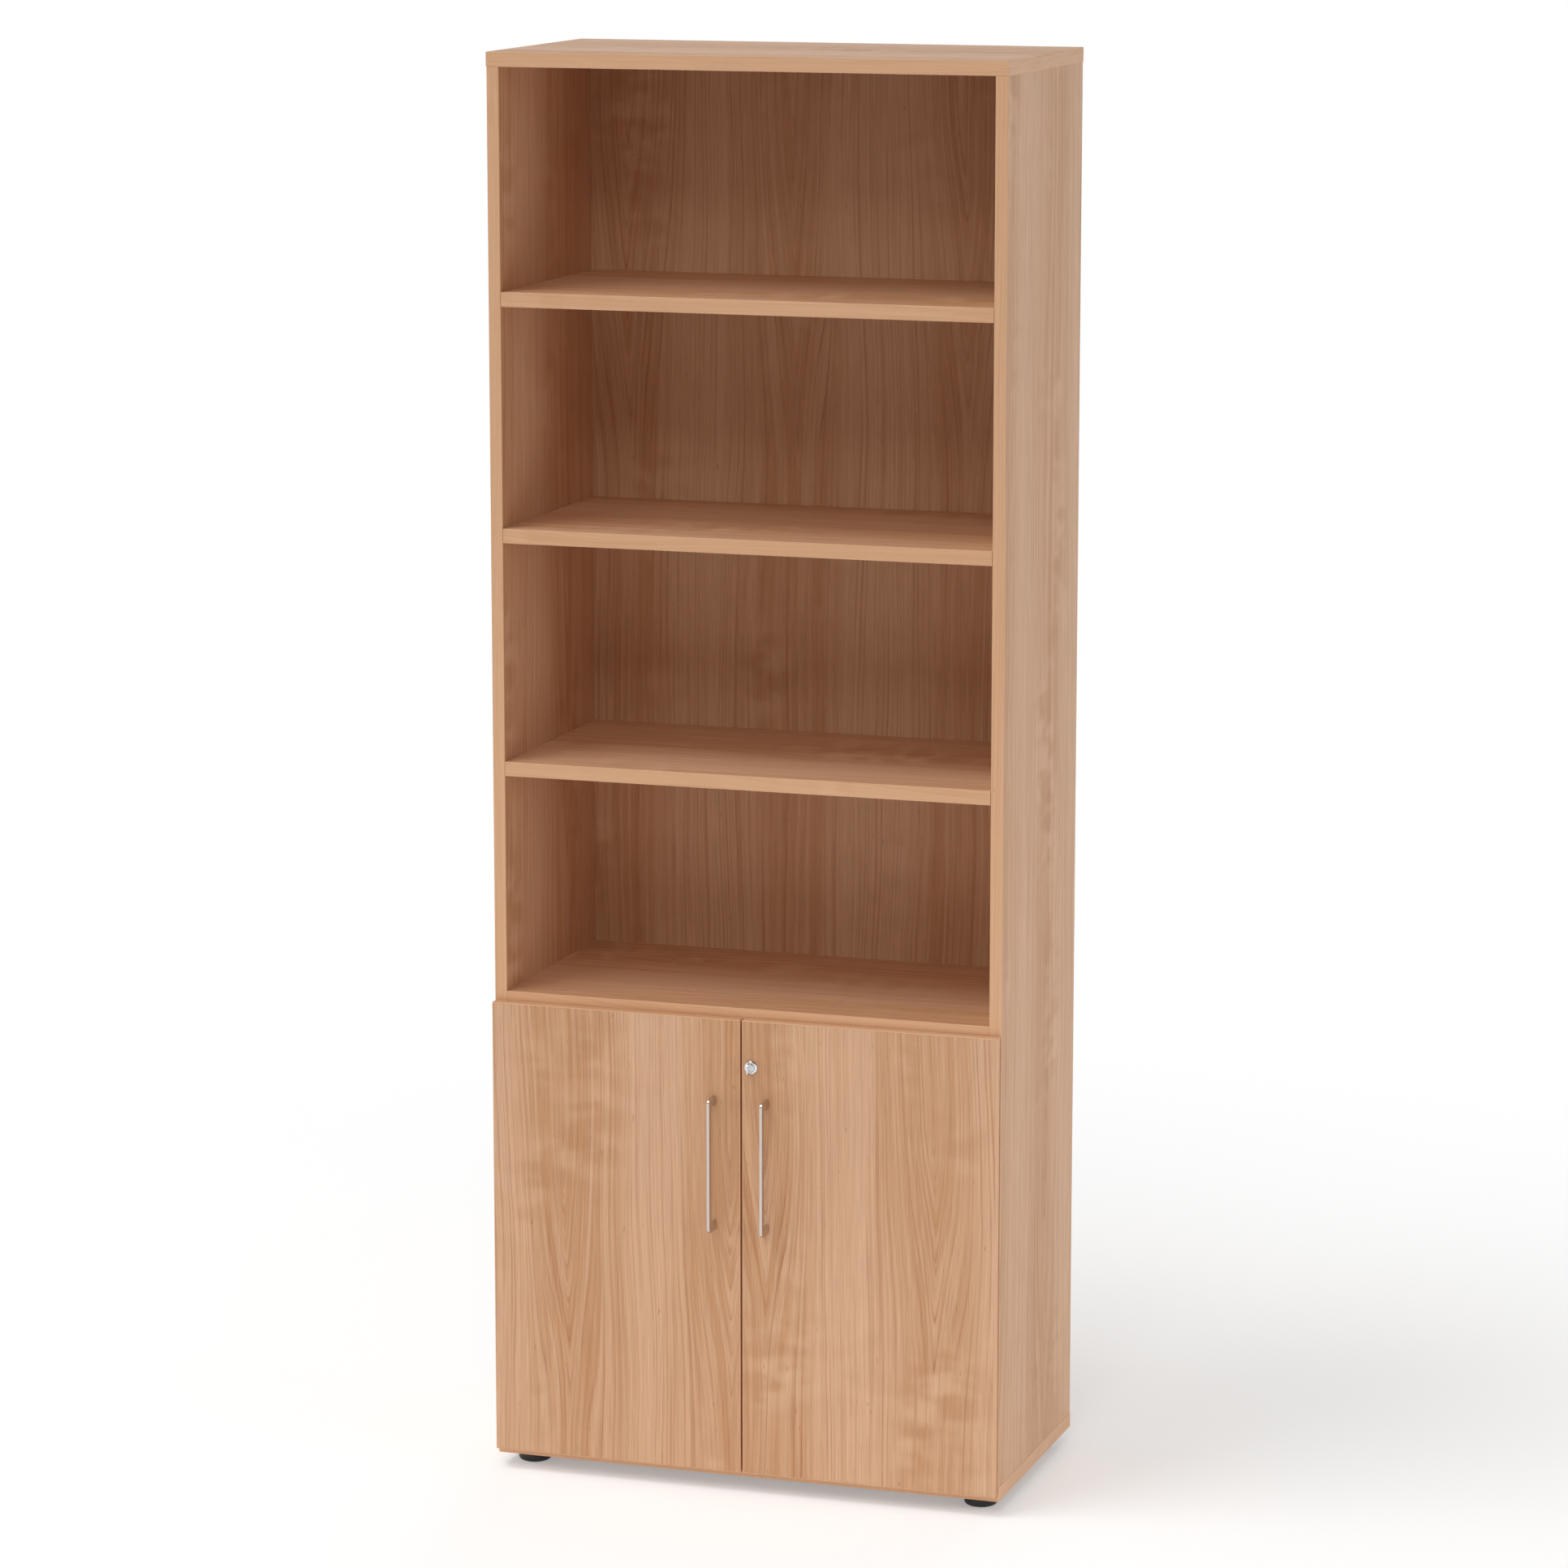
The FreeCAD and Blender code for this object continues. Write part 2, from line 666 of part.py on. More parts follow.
def lock_rosette():
    """Domed ring that covers the end of the housing on the door's face."""
    face = door_front - rosette_height
    inner = lock_x + lock_cylinder_radius + rosette_play
    outer = lock_x + rosette_radius
    crown = lock_x + rosette_top_radius
    rim = door_front - rosette_rim
    slope = math.sqrt(0.5)
    swell = point(crown + (outer - crown) * slope, rim + (face - rim) * slope, lock_z)
    outline = [
        line(point(inner, door_front, lock_z), point(outer, door_front, lock_z)),
        line(point(outer, door_front, lock_z), point(outer, rim, lock_z)),
        arc(point(outer, rim, lock_z), swell, point(crown, face, lock_z)),
        line(point(crown, face, lock_z), point(inner, face, lock_z)),
        line(point(inner, face, lock_z), point(inner, door_front, lock_z)),
    ]
    return revolved(outline, point(lock_x, door_front, lock_z), to_back)


def lock_nut():
    """Six-sided nut that clamps the housing from behind."""
    corners = []
    for index in range(7):
        angle = index * math.pi / 3
        reach = nut_width / math.sqrt(3)
        corners.append(point(lock_x + reach * math.cos(angle), door_back, lock_z + reach * math.sin(angle)))
    blank = Part.Face(Part.makePolygon(corners)).extrude(to_back * nut_thickness)
    return blank.cut(along_lock(lock_housing_radius + fixing_play, door_back, door_back + nut_thickness))


def lock_cylinder():
    """Cylinder with a keyway in its nose and a square tail for the cam."""
    cylinder = along_lock(lock_cylinder_radius, lock_nose, cylinder_end)
    cylinder = cylinder.makeFillet(lock_nose_radius, edges_on(cylinder, "front", "xyz"))
    keyway = box(lock_x - keyway_width / 2, lock_x + keyway_width / 2, lock_nose, lock_nose + keyway_depth,
                 lock_z - keyway_height / 2, lock_z + keyway_height / 2)
    screw_bore = hole(cam_screw_seat, to_front, machine_screw_radius, cam_screw_length)
    return cylinder.fuse(square_along_lock(cam_square, cylinder_end, cam_end)).cut([keyway, screw_bore])


def lock_key():
    """Flat key that stands upright in the keyway, with a rounded bow and a hole for a ring."""
    bow_back = lock_nose - key_bow_gap
    bow_front = bow_back - key_bow_length
    bow_half = key_bow_thickness / 2
    bow = box(lock_x - bow_half, lock_x + bow_half, bow_front, bow_back,
              lock_z - key_bow_height / 2, lock_z + key_bow_height / 2)
    bow = bow.makeFillet(key_bow_round, edges_on(bow, "front", "x"))
    bow = bow.makeFillet(key_shoulder_round, edges_on(bow, "back", "x"))
    bow = bow.makeFillet(key_edge_round, edges_on(bow, "left", "xyz") + edges_on(bow, "right", "xyz"))
    ring_y = bow_front + key_hole_from_end
    ring_side = point(lock_x - bow_half, ring_y, lock_z)
    ring_hole = rod(key_hole_radius, ring_side, ring_side + to_right * key_bow_thickness)
    blade_half = keyway_width / 2 - key_blade_play
    blade_reach = keyway_height / 2 - key_blade_play
    blade_tip = lock_nose + keyway_depth - key_blade_end_play
    blade = box(lock_x - blade_half, lock_x + blade_half, bow_back, blade_tip,
                lock_z - blade_reach, lock_z + blade_reach)
    return bow.cut(ring_hole).fuse(blade).removeSplitter()


def lock_cam():
    """Flat cam that hangs down when unlocked, and turns sideways behind the keeper."""
    tip_z = lock_z - cam_reach + cam_width / 2
    tip = rod(cam_width / 2, point(lock_x, cylinder_end, tip_z), point(lock_x, cam_end, tip_z))
    head = along_lock(cam_width / 2, cylinder_end, cam_end)
    plate = box(lock_x - cam_width / 2, lock_x + cam_width / 2, cylinder_end, cam_end, tip_z, lock_z)
    square_hole = square_along_lock(cam_square + 2 * fixing_play, cylinder_end, cam_end)
    return plate.fuse([head, tip]).cut(square_hole).removeSplitter()


# Keeper on the back of the left door, which the cam turns behind
keeper_right = -door_meeting - keeper_from_meeting_edge
keeper_left = keeper_right - keeper_width
keeper_screw_seats = [
    point((keeper_left + keeper_right) / 2, door_back + keeper_base_thickness, lock_z + offset)
    for offset in (-keeper_screw_spread, keeper_screw_spread)
]


def lock_keeper():
    """Screwed plate with a raised pad that reaches back to the cam."""
    base = box(keeper_left, keeper_right, door_back, door_back + keeper_base_thickness,
               lock_z - keeper_height / 2, lock_z + keeper_height / 2)
    pad = box(keeper_left, keeper_right, door_back, cylinder_end - keeper_clearance,
              lock_z - keeper_pad_height / 2, lock_z + keeper_pad_height / 2)
    return base.fuse(pad).cut(wood_screw_holes(keeper_screw_seats)).removeSplitter()


# Slide bolt that holds the left door to the underside of the fixed shelf
bolt_x = -door_meeting - bolt_from_meeting_edge
bolt_y = door_back + bolt_stand_off
guide_face = door_back + bolt_guide_depth
guide_top = fixed_under - bolt_guide_below_shelf
guide_bottom = guide_top - bolt_guide_length
guide_middle = (guide_top + guide_bottom) / 2
knob_z = guide_middle - bolt_travel / 2
ear_reach = (bolt_guide_width + bolt_ear_length) / 2
bolt_screw_seats = [
    point(bolt_x + offset, door_back + bolt_ear_thickness, guide_middle) for offset in (-ear_reach, ear_reach)
]


def along_bolt(radius, low, high):
    return rod(radius, point(bolt_x, bolt_y, low), point(bolt_x, bolt_y, high))


def bolt_guide():
    """Moulded guide: a bored block with a slot for the knob, and an ear on each side for a screw."""
    half_width_of_block = bolt_guide_width / 2
    block = box(bolt_x - half_width_of_block, bolt_x + half_width_of_block, door_back, guide_face,
                guide_bottom, guide_top)
    block = block.makeFillet(bolt_guide_corner, edges_on(block, "back", "z"))
    ear_end = half_width_of_block + bolt_ear_length
    ears = box(bolt_x - ear_end, bolt_x + ear_end, door_back, door_back + bolt_ear_thickness,
               guide_middle - bolt_ear_length, guide_middle + bolt_ear_length)
    ears = ears.makeFillet(bolt_ear_length / 2, edges_on(ears, "left", "y") + edges_on(ears, "right", "y"))
    slot_half = bolt_knob_radius + bolt_slot_play
    slot = box(bolt_x - slot_half, bolt_x + slot_half, bolt_y, guide_face,
               knob_z - slot_half, knob_z + bolt_travel + slot_half)
    bore = along_bolt(bolt_rod_radius + running_fit, guide_bottom, guide_top)
    return block.fuse(ears).cut([bore, slot] + wood_screw_holes(bolt_screw_seats)).removeSplitter()


def bolt_rod():
    """Round rod with a thumb knob that stands out through the slot."""
    top = fixed_under - bolt_clearance
    bar = along_bolt(bolt_rod_radius, top - bolt_rod_length, top)
    bar = bar.makeChamfer(bolt_rod_chamfer, edges_on(bar, "top", "xyz"))
    knob_start = point(bolt_x, bolt_y, knob_z)
    knob_end = knob_start + to_back * bolt_knob_length
    stem = rod(bolt_knob_radius, knob_start, knob_end)
    head = rod(bolt_knob_head_radius, knob_end, knob_end + to_back * bolt_knob_head_thickness)
    return bar.fuse([stem, head]).removeSplitter()


bolt_throw = bolt_travel - bolt_clearance
bolt_socket = along_bolt(bolt_rod_radius + bolt_socket_play, fixed_under,
                         fixed_under + bolt_throw + bolt_socket_end_play)
fixed_shelf = fixed_shelf.cut(bolt_socket)
door_left = door_left.cut(wood_screw_holes(keeper_screw_seats + bolt_screw_seats))

# Every piece under its name. A list is a group of like pieces.
pieces = {
    "top_panel": top_panel,
    "base_panel": base_panel,
    "side_panel_left": side_left,
    "side_panel_right": mirrored(side_left),
    "back_panel": back_panel,
    "fixed_shelf": fixed_shelf,
    "carcass_dowels": dowels,
    "shelf_pins": shelf_pins,
    "foot_inserts": foot_inserts,
    "door_left": door_left,
    "door_right": door_right,
    "handle_left": handle_left,
    "handle_right": mirrored(handle_left),
    "handle_screws_left": handle_screws,
    "handle_screws_right": mirrored(handle_screws),
    "door_bumpers_left": door_bumpers,
    "door_bumpers_right": mirrored(door_bumpers),
    "hinge_pins_left": hinge_pins,
    "hinge_pins_right": mirrored(hinge_pins),
    "hinge_cup_screws_left": hinge_cup_screws,
    "hinge_cup_screws_right": mirrored(hinge_cup_screws),
    "hinge_plate_screws_left": hinge_plate_screws,
    "hinge_plate_screws_right": mirrored(hinge_plate_screws),
    "lock_housing": lock_housing,
    "lock_rosette": lock_rosette(),
    "lock_nut": lock_nut(),
    "lock_cylinder": lock_cylinder(),
    "lock_key": lock_key(),
    "lock_cam": lock_cam(),
    "lock_cam_screw": machine_screw(cam_screw_seat, to_front, cam_screw_length),
    "lock_keeper": lock_keeper(),
    "lock_keeper_screws": [wood_screw(seat) for seat in keeper_screw_seats],
    "bolt_guide": bolt_guide(),
    "bolt_rod": bolt_rod(),
    "bolt_screws": [wood_screw(seat) for seat in bolt_screw_seats],
}
pieces.update(loose_shelves)
for place, z in hinge_heights.items():
    for kind, make in (("arm", hinge_arm), ("plate", hinge_plate), ("cup", hinge_cup)):
        pieces["hinge_" + kind + "_left_" + place] = make(z)
        pieces["hinge_" + kind + "_right_" + place] = mirrored(make(z))
for place, middle in foot_places.items():
    pieces["foot_pad_" + place] = foot_pad(middle)
    pieces["foot_stud_" + place] = foot_stud(middle)

os.makedirs("parts", exist_ok=True)
for name, piece in pieces.items():
    shape = Part.makeCompound(piece) if isinstance(piece, list) else piece
    shape.exportStep("parts/" + name + ".step")
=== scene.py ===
import math
from types import SimpleNamespace

import bpy
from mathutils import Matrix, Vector


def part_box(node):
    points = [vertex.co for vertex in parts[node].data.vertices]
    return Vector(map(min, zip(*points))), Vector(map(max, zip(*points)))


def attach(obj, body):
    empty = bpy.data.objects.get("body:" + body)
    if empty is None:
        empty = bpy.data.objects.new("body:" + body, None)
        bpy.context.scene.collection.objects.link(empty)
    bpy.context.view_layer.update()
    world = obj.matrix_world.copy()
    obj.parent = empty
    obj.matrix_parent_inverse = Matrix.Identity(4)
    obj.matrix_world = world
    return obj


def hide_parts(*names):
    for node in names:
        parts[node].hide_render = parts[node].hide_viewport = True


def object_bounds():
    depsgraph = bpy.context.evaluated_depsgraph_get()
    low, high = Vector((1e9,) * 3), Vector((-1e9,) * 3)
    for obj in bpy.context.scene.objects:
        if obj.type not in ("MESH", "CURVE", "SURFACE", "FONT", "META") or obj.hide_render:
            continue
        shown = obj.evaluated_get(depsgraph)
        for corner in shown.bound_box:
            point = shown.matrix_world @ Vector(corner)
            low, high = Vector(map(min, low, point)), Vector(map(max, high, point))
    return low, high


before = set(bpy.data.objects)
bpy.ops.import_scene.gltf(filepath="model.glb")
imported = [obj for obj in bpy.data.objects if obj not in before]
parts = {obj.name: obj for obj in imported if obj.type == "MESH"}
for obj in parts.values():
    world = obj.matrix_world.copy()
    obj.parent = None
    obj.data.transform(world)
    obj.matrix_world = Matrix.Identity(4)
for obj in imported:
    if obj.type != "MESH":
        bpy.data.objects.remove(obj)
cad_low, cad_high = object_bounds()


# Carcass boards: 22 mm and 19 mm chipboard under a printed cherry decor, satin melamine on the faces
# and a glued edging of the same decor on every narrow side. The top and base cover the sides, and
# dowels hold them together.
def feed(tree, socket, value):
    """Links a node's output into the socket, or sets a plain value on it."""
    if isinstance(value, bpy.types.NodeSocket):
        tree.links.new(value, socket)
    else:
        socket.default_value = value


def computed(tree, operation, *values):
    """The result of one sum on plain numbers or node outputs."""
    step = tree.nodes.new("ShaderNodeMath")
    step.operation = operation
    for socket, value in zip(step.inputs, values):
        feed(tree, socket, value)
    return step.outputs[0]


def choose(tree, share, first, second):
    """The first number where share is 0 and the second where it is 1."""
    step = tree.nodes.new("ShaderNodeMix")
    for socket, value in zip((step.inputs[0], step.inputs[2], step.inputs[3]), (share, first, second)):
        feed(tree, socket, value)
    return step.outputs[0]


def tinted(tree, share, first, second, blend="MIX"):
    """The first colour turning into the second by the share."""
    step = tree.nodes.new("ShaderNodeMix")
    step.data_type = "RGBA"
    step.blend_type = blend
    for socket, value in zip((step.inputs[0], step.inputs[6], step.inputs[7]), (share, first, second)):
        feed(tree, socket, value)
    return step.outputs[2]


def span(tree, value, low, high, to_low=0.0, to_high=1.0):
    """A number stretched smoothly from one range to another."""
    step = tree.nodes.new("ShaderNodeMapRange")
    step.interpolation_type = "SMOOTHSTEP"
    for socket, number in zip(step.inputs, (value, low, high, to_low, to_high)):
        feed(tree, socket, number)
    return step.outputs[0]


def joined(tree, x, y, z):
    """Three numbers as one place or colour."""
    step = tree.nodes.new("ShaderNodeCombineXYZ")
    for socket, value in zip(step.inputs, (x, y, z)):
        feed(tree, socket, value)
    return step.outputs[0]


def cloudy(tree, place, across, along, through=1.0, detail=2.0, rough=0.5):
    """Noise with so many waves a metre across the grain, along it and from one pattern to the next."""
    stretch = tree.nodes.new("ShaderNodeVectorMath")
    stretch.operation = "MULTIPLY"
    feed(tree, stretch.inputs[0], place)
    stretch.inputs[1].default_value = (across, along, through)
    noise = tree.nodes.new("ShaderNodeTexNoise")
    noise.inputs["Scale"].default_value = 1.0
    noise.inputs["Detail"].default_value = detail
    noise.inputs["Roughness"].default_value = rough
    tree.links.new(stretch.outputs[0], noise.inputs["Vector"])
    return noise.outputs["Fac"]


def shade(red, green, blue):
    """A colour given in a screen's values, in the linear values that the sockets take."""
    channels = [c / 255 for c in (red, green, blue)]
    return (*((c / 12.92 if c <= 0.04045 else ((c + 0.055) / 1.055) ** 2.4) for c in channels), 1.0)


def new_finish(name):
    """A material with its node tree and its shader."""
    finish = bpy.data.materials.new(name)
    finish.use_nodes = True
    return finish, finish.node_tree, finish.node_tree.nodes["Principled BSDF"]


def paint(node, finish):
    """Gives a part of the frame its finish."""
    for slot in parts[node].material_slots:
        slot.material = finish


edging_thickness = 0.002
edging_joint = 0.0003
edge_turn = 0.7
plank_half = 0.135
flame_width = 0.058
ring_spacing = 0.0058
pore_depth = 0.0001

heart_wood = shade(200, 149, 108)
sap_wood = shade(215, 171, 135)
pale_strip = shade(226, 185, 151)
bright_figure = shade(232, 192, 157)
dark_figure = shade(186, 131, 91)
hair_line = shade(180, 121, 80)
ring_line = shade(168, 104, 64)
gum_fleck = shade(138, 86, 56)
edging_tan = shade(234, 184, 143)
glue_line = shade(120, 78, 52)


def point_on_board(tree, node, grain, edged, seed):
    """Where a point lies in the print of a board, sideways and lengthways, how far it is from the edged
    rim, and whether it is on a narrow side, or on one that closes the end of the grain."""
    low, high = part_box(node)
    size = high - low
    through_axis = min(range(3), key=lambda axis: size[axis])
    along_axis = "XYZ".index(grain)
    across_axis = 3 - through_axis - along_axis
    where = tree.nodes.new("ShaderNodeTexCoord")
    spots = tree.nodes.new("ShaderNodeSeparateXYZ")
    facing = tree.nodes.new("ShaderNodeSeparateXYZ")
    tree.links.new(where.outputs["Object"], spots.inputs[0])
    tree.links.new(where.outputs["Normal"], facing.inputs[0])
    across, along, through = (spots.outputs[axis] for axis in (across_axis, along_axis, through_axis))

    turned = [computed(tree, "ABSOLUTE", facing.outputs[axis]) for axis in (across_axis, along_axis)]
    on_long_edge, on_end = (computed(tree, "GREATER_THAN", turn, edge_turn) for turn in turned)
    on_edge = computed(tree, "MAXIMUM", on_long_edge, on_end)
    own_strip = computed(tree, "ADD", through, 1.0 + 0.37 * seed)

    rims = [computed(tree, "SUBTRACT", across, low[across_axis])]
    if edged == "all round":
        rims.append(computed(tree, "SUBTRACT", high[across_axis], across))
        rims.append(computed(tree, "SUBTRACT", along, low[along_axis]))
        rims.append(computed(tree, "SUBTRACT", high[along_axis], along))
    from_rim = rims[0]
    for rim in rims[1:]:
        from_rim = computed(tree, "MINIMUM", from_rim, rim)
    return SimpleNamespace(
        sideways=choose(tree, on_edge, across, own_strip),
        lengthways=choose(tree, on_end, along, across),
        from_rim=from_rim,
        on_edge=on_edge,
        on_end=on_end,
    )


def plank_rings(tree, spot, place, heart, tip, arch):
    """Flat-sawn planks side by side: how far a point is from the heart of its plank, how far out its year
    ring lies, with pointed arches that close over the heart, and a number that differs on the heart's
    two sides."""
    sway = computed(tree, "MULTIPLY_ADD", cloudy(tree, place, 2.6, 0.9), 0.07, -0.035)
    ripple = computed(tree, "MULTIPLY_ADD", cloudy(tree, place, 16.0, 4.0), 0.007, -0.0035)
    bent = computed(tree, "ADD", computed(tree, "ADD", spot.sideways, sway), ripple)
    from_heart = computed(tree, "PINGPONG", computed(tree, "SUBTRACT", bent, heart), plank_half)
    closing = computed(tree, "MULTIPLY", computed(tree, "SUBTRACT", tip, spot.lengthways), arch)
    rise = computed(tree, "SMOOTH_MIN", closing, 0.8 * flame_width, 0.03)
    rise = computed(tree, "SMOOTH_MAX", rise, 0.0, 0.02)
    nearness = computed(tree, "POWER", computed(tree, "DIVIDE", from_heart, flame_width), 2.0)
    flame = computed(tree, "EXPONENT", computed(tree, "MULTIPLY", nearness, -1.0))
    blunt = computed(tree, "SMOOTH_MAX", from_heart, 0.002, 0.005)
    ring = computed(tree, "MULTIPLY_ADD", rise, flame, blunt)
    return from_heart, ring, computed(tree, "MULTIPLY", bent, 22.0)


def year_ends(tree, place, ring, heart_side, seed):
    """The dark line that closes each year, bolder in some years and in some places."""
    in_years = joined(tree, ring, heart_side, seed * 1.9)
    uneven = computed(tree, "MULTIPLY", cloudy(tree, in_years, 34.0, 1.0, detail=1.0), 2.6)
    year = computed(tree, "FRACT", computed(tree, "MULTIPLY_ADD", ring, 1.0 / ring_spacing, uneven))
    late = tree.nodes.new("ShaderNodeValToRGB")
    late.color_ramp.interpolation = "EASE"
    stops = late.color_ramp.elements
    stops[0].position = 0.40
    stops[0].color = (0.0, 0.0, 0.0, 1.0)
    stops[1].position = 0.86
    stops[1].color = (1.0, 1.0, 1.0, 1.0)
    stops.new(0.99).color = (0.0, 0.0, 0.0, 1.0)
    stops.new(0.74).color = (0.16, 0.16, 0.16, 1.0)
    tree.links.new(year, late.inputs[0])
    some_years = span(tree, cloudy(tree, in_years, 90.0, 1.0, detail=0.0), 0.36, 0.64, 0.20, 1.0)
    some_places = span(tree, cloudy(tree, place, 20.0, 2.2), 0.30, 0.70, 0.25, 1.0)
    line = computed(tree, "MULTIPLY", late.outputs[0], some_places)
    return computed(tree, "MULTIPLY", line, some_years)


def wavy_figure(tree, place, from_heart):
    """The bright and the dark share of the wavy figure, which shows in patches, mostly near the heart."""
    waves = cloudy(tree, place, 15.0, 26.0, detail=1.0)
    patches = span(tree, cloudy(tree, place, 6.0, 3.2, 5.0), 0.50, 0.68)
    patches = computed(tree, "MULTIPLY", patches, span(tree, from_heart, 0.03, 0.12, 1.0, 0.25))
    bright = computed(tree, "MULTIPLY", span(tree, waves, 0.44, 0.70), patches)
    dark = computed(tree, "MULTIPLY", span(tree, waves, 0.56, 0.30), patches)
    return bright, dark


def with_edging(tree, body, spot):
    """The board's colour with the edging on its narrow sides and the fine joint beside it on the face."""
    seen_thickness = computed(tree, "LESS_THAN", spot.from_rim, edging_thickness)
    edging = computed(tree, "MAXIMUM", spot.on_edge, seen_thickness)
    lightness = choose(tree, spot.on_end, 0.60, 0.36)
    body = tinted(tree, computed(tree, "MULTIPLY", edging, lightness), body, edging_tan)
    off_joint = computed(tree, "ABSOLUTE", computed(tree, "SUBTRACT", spot.from_rim, edging_thickness))
    on_face = computed(tree, "SUBTRACT", 1.0, spot.on_edge)
    joint = computed(tree, "MULTIPLY", span(tree, off_joint, edging_joint, 0.0), on_face)
    return tinted(tree, computed(tree, "MULTIPLY", joint, 0.55), body, glue_line)


def cherry_decor(node, grain, edged, heart, tip, arch, seed):
    """Flat-sawn cherry print on one board, plank beside plank. Heart is where the middle of a plank lies
    across the board, tip where its pointed arches end along the board, arch how fast they close."""
    finish, tree, skin = new_finish("cherry_" + node)
    spot = point_on_board(tree, node, grain, edged, seed)
    place = joined(tree, spot.sideways, spot.lengthways, seed * 3.7)
    from_heart, ring, heart_side = plank_rings(tree, spot, place, heart, tip, arch)
    drift = computed(tree, "MULTIPLY_ADD", cloudy(tree, place, 9.0, 1.1, 2.0), 0.16, -0.08)
    outward = span(tree, computed(tree, "ADD", from_heart, drift), 0.02, 0.115)
    in_strips = joined(tree, ring, spot.lengthways, computed(tree, "ADD", heart_side, seed * 2.3))
    strips = span(tree, cloudy(tree, in_strips, 140.0, 0.9, rough=0.65), 0.34, 0.66)
    hairs = span(tree, cloudy(tree, in_strips, 330.0, 1.6, detail=1.0), 0.54, 0.70)
    flecks = span(tree, cloudy(tree, place, 260.0, 42.0, detail=1.0), 0.75, 0.80)
    fibre = cloudy(tree, place, 720.0, 14.0, detail=3.0, rough=0.6)
    bright, dark = wavy_figure(tree, place, from_heart)
    lines = year_ends(tree, place, ring, heart_side, seed)

    body = tinted(tree, outward, heart_wood, sap_wood)
    for mark, strength, colour in (
        (strips, 0.50, pale_strip),
        (bright, 0.50, bright_figure),
        (dark, 0.42, dark_figure),
        (hairs, 0.42, hair_line),
        (lines, 0.66, ring_line),
        (flecks, 0.40, gum_fleck),
    ):
        body = tinted(tree, computed(tree, "MULTIPLY", mark, strength), body, colour)
    fibre_shade = span(tree, fibre, 0.25, 0.75, 0.90, 1.09)
    body = tinted(tree, 1.0, body, joined(tree, fibre_shade, fibre_shade, fibre_shade), "MULTIPLY")
    if edged:
        body = with_edging(tree, body, spot)
    tree.links.new(body, skin.inputs["Base Color"])

    pores = span(tree, fibre, 0.30, 0.62)
    skin.inputs["Specular IOR Level"].default_value = 0.42
    tree.links.new(span(tree, pores, 0.0, 1.0, 0.56, 0.46), skin.inputs["Roughness"])
    bump = tree.nodes.new("ShaderNodeBump")
    bump.inputs["Strength"].default_value = 0.25
    bump.inputs["Distance"].default_value = pore_depth
    tree.links.new(pores, bump.inputs["Height"])
    tree.links.new(bump.outputs[0], skin.inputs["Normal"])
    paint(node, finish)


cherry_decor("side_panel_left", "Z", "front", heart=0.09, tip=1.3, arch=0.10, seed=1)
cherry_decor("side_panel_right", "Z", "front", heart=-0.20, tip=0.5, arch=0.10, seed=2)
cherry_decor("top_panel", "X", "all round", heart=0.07, tip=0.1, arch=0.12, seed=3)
cherry_decor("base_panel", "X", "all round", heart=-0.02, tip=0.2, arch=0.12, seed=4)
cherry_decor("fixed_shelf", "X", "front", heart=0.12, tip=0.0, arch=0.14, seed=5)
cherry_decor("shelf_lower", "X", "front", heart=0.05, tip=0.3, arch=0.14, seed=6)
cherry_decor("shelf_middle", "X", "front", heart=-0.05, tip=-0.2, arch=0.14, seed=7)
cherry_decor("shelf_upper", "X", "front", heart=0.16, tip=0.4, arch=0.14, seed=8)
cherry_decor("cabinet_shelf", "X", "front", heart=0.0, tip=0.1, arch=0.14, seed=9)


# Back panel: one 8 mm board in the same decor, grain upright and without edging, let into grooves in the
# sides, the top and the base.
cherry_decor("back_panel", "Z", None, heart=-0.05, tip=2.05, arch=0.10, seed=10)


# Doors: two 16 mm boards in the same decor, grain upright, with an edging all round. The print has its
# arches low on the left of each door.
cherry_decor("door_left", "Z", "all round", heart=-0.289, tip=0.48, arch=0.15, seed=11)
cherry_decor("door_right", "Z", "all round", heart=0.031, tip=0.58, arch=0.15, seed=12)


# Handles: one bow handle on each door, bent from a flat steel bar and plated in satin nickel, with fine
# polishing lines along the bar. Screws from inside the door hold the two legs.
lines_across = 1900.0
lines_along = 40.0
line_darkness = 0.86


def metal(name, colour, roughness, streak, streak_axis):
    """Plated steel with fine lines along one axis."""
    finish, tree, skin = new_finish(name)
    where = tree.nodes.new("ShaderNodeTexCoord")
    waves = [lines_across] * 3
    waves["XYZ".index(streak_axis)] = lines_along
    lines = cloudy(tree, where.outputs["Object"], *waves)
    spread = span(tree, lines, 0.25, 0.75, roughness - streak, roughness + streak)
    tree.links.new(spread, skin.inputs["Roughness"])
    darker = tuple(c * line_darkness for c in colour[:3]) + (1.0,)
    tree.links.new(tinted(tree, lines, darker, colour), skin.inputs["Base Color"])
    skin.inputs["Metallic"].default_value = 1.0
    return finish


satin_nickel = metal("satin_nickel", shade(215, 206, 198), 0.30, 0.06, "Z")
paint("handle_left", satin_nickel)
paint("handle_right", satin_nickel)


# Lock: cam lock through the right door, its rosette, cylinder and key polished and chromed, the housing,
# nut, cam and the keeper on the left door in plain nickel.
polished_chrome = metal("polished_chrome", shade(232, 233, 235), 0.10, 0.03, "X")
lock_nickel = metal("lock_nickel", shade(204, 201, 196), 0.28, 0.06, "Z")
for node in ("lock_rosette", "lock_cylinder", "lock_key"):
    paint(node, polished_chrome)
for node in ("lock_housing", "lock_nut", "lock_cam", "lock_keeper"):
    paint(node, lock_nickel)


